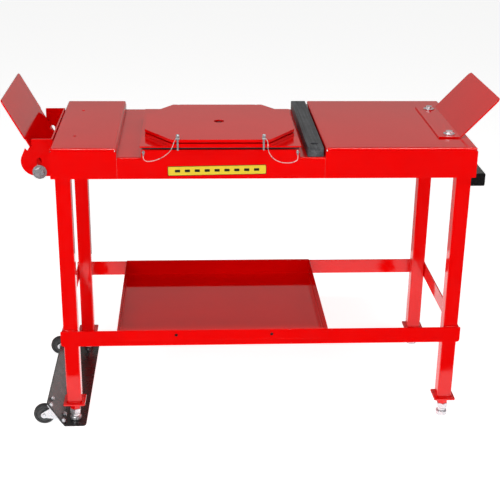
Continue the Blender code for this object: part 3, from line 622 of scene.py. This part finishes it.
CORNERS = ("front_left", "rear_left", "front_right", "rear_right")
legs = {corner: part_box("leg_" + corner) for corner in CORNERS}
rail_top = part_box("lower_rail_front")[1][2]
plate_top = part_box("foot_plate_front_left")[1][2]


def straight(start, end, spacing=0.0010):
    start, end = Vector(start), Vector(end)
    steps = max(2, round((end - start).length / spacing))
    return [start.lerp(end, step / steps) for step in range(steps + 1)]


def bead(along, angle):
    """A weld's radius, with one ripple every WELD_RIPPLE metres."""
    return 0.0029 + 0.0006 * abs(math.sin(math.pi * along / WELD_RIPPLE))


def make_welds(corner):
    """The beads of one leg: over the two rails on its outer faces, and all round on its foot plate."""
    low, high = legs[corner]
    outer_y, sign_y = (low[1], -1) if "front" in corner else (high[1], 1)
    outer_x, sign_x = (low[0], -1) if "left" in corner else (high[0], 1)
    rail_x = outer_x + sign_x * RAIL_WELD_OUT
    rail_y = outer_y + sign_y * RAIL_WELD_OUT
    rail_z = rail_top + RAIL_WELD_UP
    left, right = low[0] - PLATE_WELD_OUT, high[0] + PLATE_WELD_OUT
    front, rear = low[1] - PLATE_WELD_OUT, high[1] + PLATE_WELD_OUT
    base_z = plate_top + PLATE_WELD_UP
    stop = WELD_STOP
    routes = [
        straight((low[0] + stop, rail_y, rail_z), (high[0] - stop, rail_y, rail_z)),
        straight((rail_x, low[1] + stop, rail_z), (rail_x, high[1] - stop, rail_z)),
        straight((left + stop, front, base_z), (right - stop, front, base_z)),
        straight((left + stop, rear, base_z), (right - stop, rear, base_z)),
        straight((left, front + stop, base_z), (left, rear - stop, base_z)),
        straight((right, front + stop, base_z), (right, rear - stop, base_z)),
    ]
    welds = swept("welds_" + corner, routes, bead, 10)
    welds.data.materials.append(red_paint)
    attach(welds, "stand")


def circle_route(centre, radius, steps=32):
    angles = [2 * math.pi * step / steps for step in range(steps)]
    x, y, z = centre
    return [(x + radius * math.cos(a), y + radius * math.sin(a), z) for a in angles]


def make_pin_ring(side):
    """The cable's eye, a wire ring round the pin's neck."""
    low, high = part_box("lock_pin_" + side)
    centre = ((low[0] + high[0]) / 2, (low[1] + high[1]) / 2, RING_Z)
    route = circle_route(centre, RING_RADIUS)
    ring = swept("pin_ring_" + side, [route], lambda along, angle: RING_WIRE, 10, closed=True)
    ring.data.materials.append(cable_steel)
    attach(ring, "lock_pin_" + side)


def rounded_slab(bm, low, high, radius, y_back, y_front, slot):
    """A thin upright slab with rounded corners, between two depths."""
    outline = []
    corners = [
        (high[0], high[1], 0),
        (low[0], high[1], 90),
        (low[0], low[1], 180),
        (high[0], low[1], 270),
    ]
    for corner_x, corner_z, start in corners:
        x = corner_x - radius if corner_x == high[0] else corner_x + radius
        z = corner_z - radius if corner_z == high[1] else corner_z + radius
        for step in range(6):
            angle = math.radians(start + 18 * step)
            outline.append((x + radius * math.cos(angle), z + radius * math.sin(angle)))
    front = [bm.verts.new((x, y_front, z)) for x, z in outline]
    back = [bm.verts.new((x, y_back, z)) for x, z in outline]
    faces = [bm.faces.new(front), bm.faces.new(back[::-1])]
    for index, first in enumerate(front):
        onward = (index + 1) % len(front)
        faces.append(bm.faces.new((first, back[index], back[onward], front[onward])))
    for face in faces:
        face.material_index = slot


def painted_shade_section(along, angle):
    """A nearly round section, slightly squared."""
    return 0.0040 - 0.0004 * abs(math.cos(2 * angle))


def make_painted_shade_strip():
    """A black strip in the tyre rubber finish in the slot under the turntable's base, behind the lip:
    painted shade that stands for the dark gap there.
    """
    low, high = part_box("turntable_base")
    lip_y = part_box("centre_deck")[0][1]
    y, z = lip_y + SHADE_STRIP_BEHIND_LIP, low[2] - SHADE_STRIP_BELOW_BASE
    route = straight((low[0] + SHADE_STRIP_STOP, y, z), (high[0] - SHADE_STRIP_STOP, y, z), 0.004)
    strip = swept("painted_shade_strip", [route], painted_shade_section, 16)
    strip.data.materials.append(tyre_rubber)
    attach(strip, "stand")


def make_label():
    """A plain yellow strip with a black edge and blocks, in place of a printed one."""
    bm = bmesh.new()
    back, base, face, block = LABEL_DEPTHS
    rounded_slab(bm, LABEL_LOW, LABEL_HIGH, 0.004, back, base, 1)
    inner_low = (LABEL_LOW[0] + LABEL_BORDER, LABEL_LOW[1] + LABEL_BORDER)
    inner_high = (LABEL_HIGH[0] - LABEL_BORDER, LABEL_HIGH[1] - LABEL_BORDER)
    rounded_slab(bm, inner_low, inner_high, 0.003, base, face, 0)
    for index in range(BLOCK_COUNT):
        x = BLOCK_FIRST_X + index * BLOCK_PITCH
        block_low = (x - BLOCK_HALF_X, -BLOCK_HALF_Z)
        block_high = (x + BLOCK_HALF_X, BLOCK_HALF_Z)
        rounded_slab(bm, block_low, block_high, 0.0015, face, block, 1)
    bmesh.ops.recalc_face_normals(bm, faces=bm.faces)
    label = linked("label", bm, smooth=False)
    label.data.materials.append(label_yellow)
    label.data.materials.append(label_black)
    label.location = (LABEL_X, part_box("centre_deck")[0][1] - 0.0001, LABEL_Z)
    label.rotation_euler = (0.0, LABEL_LEAN, 0.0)
    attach(label, "stand")


def make_hub(name):
    """The wheel's dark core, with shallow ribs, in the recess of the tyre on both sides."""
    low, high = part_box("caster_wheel_" + name)
    middle = [(low[axis] + high[axis]) / 2 for axis in range(3)]
    bm = bmesh.new()
    for side in (-1, 1):
        face_y = side * HUB_FACE_Y
        rings = []
        for index, (radius, rise) in enumerate(HUB_PROFILE):
            ring = []
            for step in range(HUB_STEPS):
                angle = 2 * math.pi * step / HUB_STEPS
                rib = RIB_RISE if index in RIBBED_RINGS and step % 8 < 2 else 0.0
                y = face_y + side * (rise + rib)
                ring.append(bm.verts.new((radius * math.cos(angle), y, radius * math.sin(angle))))
            rings.append(ring)
        for first, second in zip(rings, rings[1:] + rings[:1]):
            for step in range(HUB_STEPS):
                onward = (step + 1) % HUB_STEPS
                bm.faces.new((first[step], first[onward], second[onward], second[step]))
    bmesh.ops.recalc_face_normals(bm, faces=bm.faces)
    hub = linked("caster_hub_" + name, bm)
    hub.data.materials.append(hub_plastic)
    hub.location = middle
    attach(hub, "caster_wheel_" + name)


for cable in cables:
    cable.data.materials.append(cable_steel)
for corner_name in legs:
    make_welds(corner_name)
for side_name in LANYARD_ROUTES:
    make_pin_ring(side_name)
for caster_name in ("front", "rear"):
    make_hub(caster_name)
make_label()
# A dark strip of painted shade in the slot under the turntable's base.
make_painted_shade_strip()
